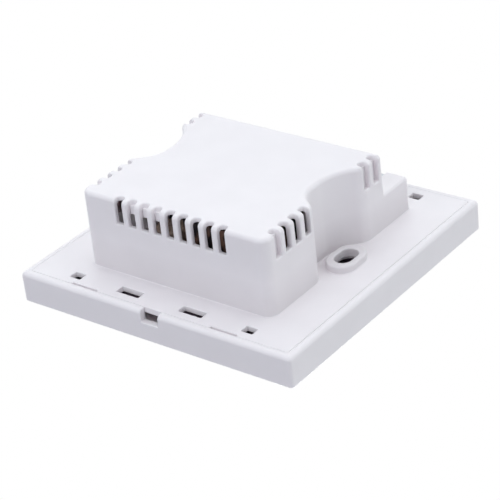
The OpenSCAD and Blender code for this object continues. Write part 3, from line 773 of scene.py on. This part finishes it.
LCD_FRONT = box_mm("lcd_glass")[0][1]
characters = digit("2", -15.5, 8, 17) + digit("3", -4.5, 8, 17) + digit("5", 5.5, 3, 8.5)
characters += [band(1.2, -0.6, 0.02, 0.55, 0, 359, 10), band(5.5, 14.6, 0.8, 1.35, 0, 359, 20)]
for text, u in (("1", 12.5), ("2", 15.5), ("3", 19.7), ("0", 22.7)):
    characters += digit(text, u, 21.5, 4.4)
characters += [band(17.6, v, 0.02, 0.3, 0, 359, 8) for v in (20.6, 22.4)]
characters += [moved(shape, 15.2, 2.5, 2.9) for shape in fan_icon()]
characters += [moved(shape, 15.2, 12.5, 2.7) for shape in frost_icon()]
for n in range(3):
    left, right, top = 19.8 + 1.7 * n, 21 + 1.7 * n, 2 + 1.5 * n
    characters.append([(left, 0), (right, 0), (right, top), (left, top)])
characters += [bar(0, -3.6, 46, 0.25)]
add_piece(slabs("lcd_segments", characters, LCD_FRONT - 0.06, LCD_FRONT - 0.01), "lcd_ink", "front")

FLANGE = FRONT + FACE_T + 0.05
KEY_TOP = FRONT - 0.4
KEY_RINGS = (  # y and how far in from the key's outline, from the back to the dished top
    (-6.1, 0.1), (-6.15, 0), (FLANGE + 0.35, 0), (FLANGE + 0.35, -0.9), (FLANGE, -0.9), (FLANGE, 0),
    (KEY_TOP + 0.3, 0.03), (KEY_TOP + 0.15, 0.1), (KEY_TOP + 0.06, 0.2), (KEY_TOP + 0.01, 0.34),
    (KEY_TOP, 0.45), (KEY_TOP + 0.03, 0.75), (KEY_TOP + 0.09, 1.1), (KEY_TOP + 0.13, 1.4),
    (KEY_TOP + 0.14, 1.6),
)
for number, name in enumerate(KEYS):
    at = (number - 2) * KEY_PITCH
    rings = [(y, KEY_HALF[0] - i, KEY_HALF[1] - i, max(KEY_HALF[1] - i - 0.15, 0.5)) for y, i in KEY_RINGS]
    stand_in(loft(name + "_key_cap", rings, (at, KEY_Z)), name + "_button", name + "_key")
    icon = [moved(shape, at, KEY_Z, 0.85) for shape in key_icon(name)]
    printed = slabs(name + "_icon", icon, KEY_TOP + 0.1, KEY_TOP + 0.16)
    add_piece(printed, "key_print", name + "_key")

# ---- Solder joints and small parts on the two boards ----


def cones(name, spots, base, tip, r0=0.85, r1=0.3):
    """Solder joints at the spots (x, z), from the board at base to their tips."""
    points, faces, n = [], [], 10
    for x, z in spots:
        start = len(points)
        for y, r in ((base, r0), (base + 0.35 * (tip - base), 0.62 * r0), (tip, r1)):
            turns = [math.tau * i / n for i in range(n)]
            points += [(x + r * math.cos(a), y, z + r * math.sin(a)) for a in turns]
        faces += sides(n, start, start + n) + sides(n, start + n, start + 2 * n)
        faces += [tuple(range(start, start + n)), tuple(range(start + 2 * n, start + 3 * n))]
    return close(add_mesh(name, points, faces), 60)


BOARD_FRONT = box_mm("power_board")[0][1]
header = [(11.4 + (i - 3.5) * 2.54, -5.4) for i in range(8)]
joints = [((i - 2.5) * 7.62, 21.0) for i in range(6)]
joints += [((i - 1.5) * 10.8 + u, v) for i in range(4) for u in (-3.4, 3.4) for v in (1.0, 6.0, 13.6)]
joints += [(-20 + 4.6 * i, v) for i in range(4) for v in (-24.6, -7.6)]
joints += [(6.6 + u, v) for u in (-1.6, 1.6) for v in (-23, -13.4)]
joints += [(13, -24.6), (21.4, -24.6), (12.4, -17.4), (18.2, -17.4), (22, -19.2), (22, -14)]
solder = cones("power_board_solder", joints, BOARD_FRONT, BOARD_FRONT - 0.55)
add_piece(solder, "solder", "rear")
BACK_OF_DISPLAY = box_mm("display_board")[1][1]
solder = cones("display_board_solder", header, BACK_OF_DISPLAY, BACK_OF_DISPLAY + 0.5, 0.8, 0.5)
add_piece(solder, "solder", "front")
DISPLAY_PARTS = (  # x, z, half width, half height, height off the board, finish
    (-20, 12, 0.8, 0.45, 0.4, "chip"), (-20, 9, 0.8, 0.45, 0.4, "chip"),
    (-20, 6, 0.8, 0.45, 0.4, "chip"), (4.5, 4, 0.45, 0.8, 0.6, "ceramic"),
    (7, 4, 0.45, 0.8, 0.6, "ceramic"), (-2, 14, 0.8, 0.45, 0.6, "ceramic"),
    (24, 18, 1.9, 2.4, 1.3, "chip"), (-26, -10, 1.5, 1.5, 0.9, "chip"),
    (24, 9, 1.2, 0.8, 0.9, "ceramic"),
)
for number, (u, v, half_u, half_v, height, finish) in enumerate(DISPLAY_PARTS):
    levels = ((0.02, 0), (0.85, 0), (1, 0.08))
    rings = [(BACK_OF_DISPLAY + y * height, half_u - i, half_v - i, 0.12) for y, i in levels]
    add_piece(loft(f"display_part_{number + 1}", rings, (u, v)), finish, "front")

# ---- Other CAD nodes: bevelled edges and their own finishes ----

for name, node in nodes.items():
    if node.hide_render:
        continue
    dress(node, slot_of[name])
    bevel = node.modifiers.new("edges", "BEVEL")
    bevel.width = 0.12 * MM
    bevel.segments = 2
    bevel.limit_method = "ANGLE"
    bevel.angle_limit = math.radians(35)

# ---- Camera, lights and floor ----


def look(obj, eye, target, roll=0.0):
    """Places obj at eye, looking at target with +Y upwards, rolled clockwise by roll degrees."""
    forward = (Vector(target) - Vector(eye)).normalized()
    side = forward.cross(Vector((0, 1, 0))).normalized()
    up = side.cross(forward)
    turn = math.radians(roll)
    side, up = (
        math.cos(turn) * side + math.sin(turn) * up,
        math.cos(turn) * up - math.sin(turn) * side,
    )
    obj.matrix_world = Matrix.Translation(eye) @ Matrix((side, up, -forward)).transposed().to_4x4()


camera = bpy.data.objects.new("camera", bpy.data.cameras.new("camera"))
bpy.context.scene.collection.objects.link(camera)
bpy.context.scene.camera = camera
camera.data.sensor_width = 36
camera.data.lens = 135.74
camera.data.clip_start, camera.data.clip_end = 0.01, 20
look(camera, (-0.27470, 0.24065, -0.32964), (-0.00414, 0, -0.00631), -6.473)


def soft_light(name, eye, target, size, power):
    light = bpy.data.objects.new(name, bpy.data.lights.new(name, "AREA"))
    light.data.shape = "DISK"
    light.data.size = size
    light.data.energy = power
    light.data.color = DAYLIGHT
    bpy.context.scene.collection.objects.link(light)
    light.visible_camera = False
    look(light, eye, target)


soft_light("fill_corner", (0.4, 0.3, -0.5), (0, 0, 0), 0.5, 0.5)
soft_light("fill_low", (-0.05, 0.3, -0.52), (0, 0, 0), 0.5, 1.3)
soft_light("front", (0.25, -0.85, 0.45), (0, 0, 0), 0.6, 4.0)

world = bpy.data.worlds.new("studio")
bpy.context.scene.world = world
world.use_nodes = True
tree = world.node_tree
tree.nodes.clear()
seen = tree.nodes.new("ShaderNodeLightPath").outputs["Is Camera Ray"]
backdrop = tree.nodes.new("ShaderNodeBackground")
backdrop.inputs["Color"].default_value = (1, 1, 1, 1)
ambient = tree.nodes.new("ShaderNodeBackground")
ambient.inputs["Color"].default_value = (*DAYLIGHT, 1)
AMBIENT, AMBIENT_BACK = 0.87, 0.64  # all round, and more from behind the wall side
across = tree.nodes.new("ShaderNodeSeparateXYZ")
tree.links.new(tree.nodes.new("ShaderNodeTexCoord").outputs["Generated"], across.inputs[0])
strength = tree.nodes.new("ShaderNodeMapRange")
strength.inputs["To Min"].default_value = AMBIENT
strength.inputs["To Max"].default_value = AMBIENT + AMBIENT_BACK
tree.links.new(across.outputs["Y"], strength.inputs["Value"])
tree.links.new(strength.outputs[0], ambient.inputs["Strength"])
mix = tree.nodes.new("ShaderNodeMixShader")
tree.links.new(seen, mix.inputs[0])
tree.links.new(ambient.outputs[0], mix.inputs[1])
tree.links.new(backdrop.outputs[0], mix.inputs[2])
tree.links.new(mix.outputs[0], tree.nodes.new("ShaderNodeOutputWorld").inputs["Surface"])
bpy.context.scene.view_settings.view_transform = "Standard"

FLOOR_Z, FLOOR_HALF = -600, 4000
corners = [(u * FLOOR_HALF, v * FLOOR_HALF, FLOOR_Z) for u, v in ((-1, -1), (1, -1), (1, 1), (-1, 1))]
floor = add_mesh("floor", corners, [(0, 1, 2, 3)])
paint = Finish("floor_paint", Roughness=0.9, Base_Color=(0.335, 0.33, 0.362, 1))
glow = paint.node("ShaderNodeEmission", Strength=0.93)
seen = paint.node("ShaderNodeLightPath").outputs["Is Camera Ray"]
both_ways = paint.node("ShaderNodeMixShader", _0=seen, _1=paint.shader.outputs[0], _2=glow.outputs[0])
paint.tree.links.new(both_ways.outputs[0], paint.tree.nodes["Material Output"].inputs["Surface"])
floor.data.materials.append(paint.material)
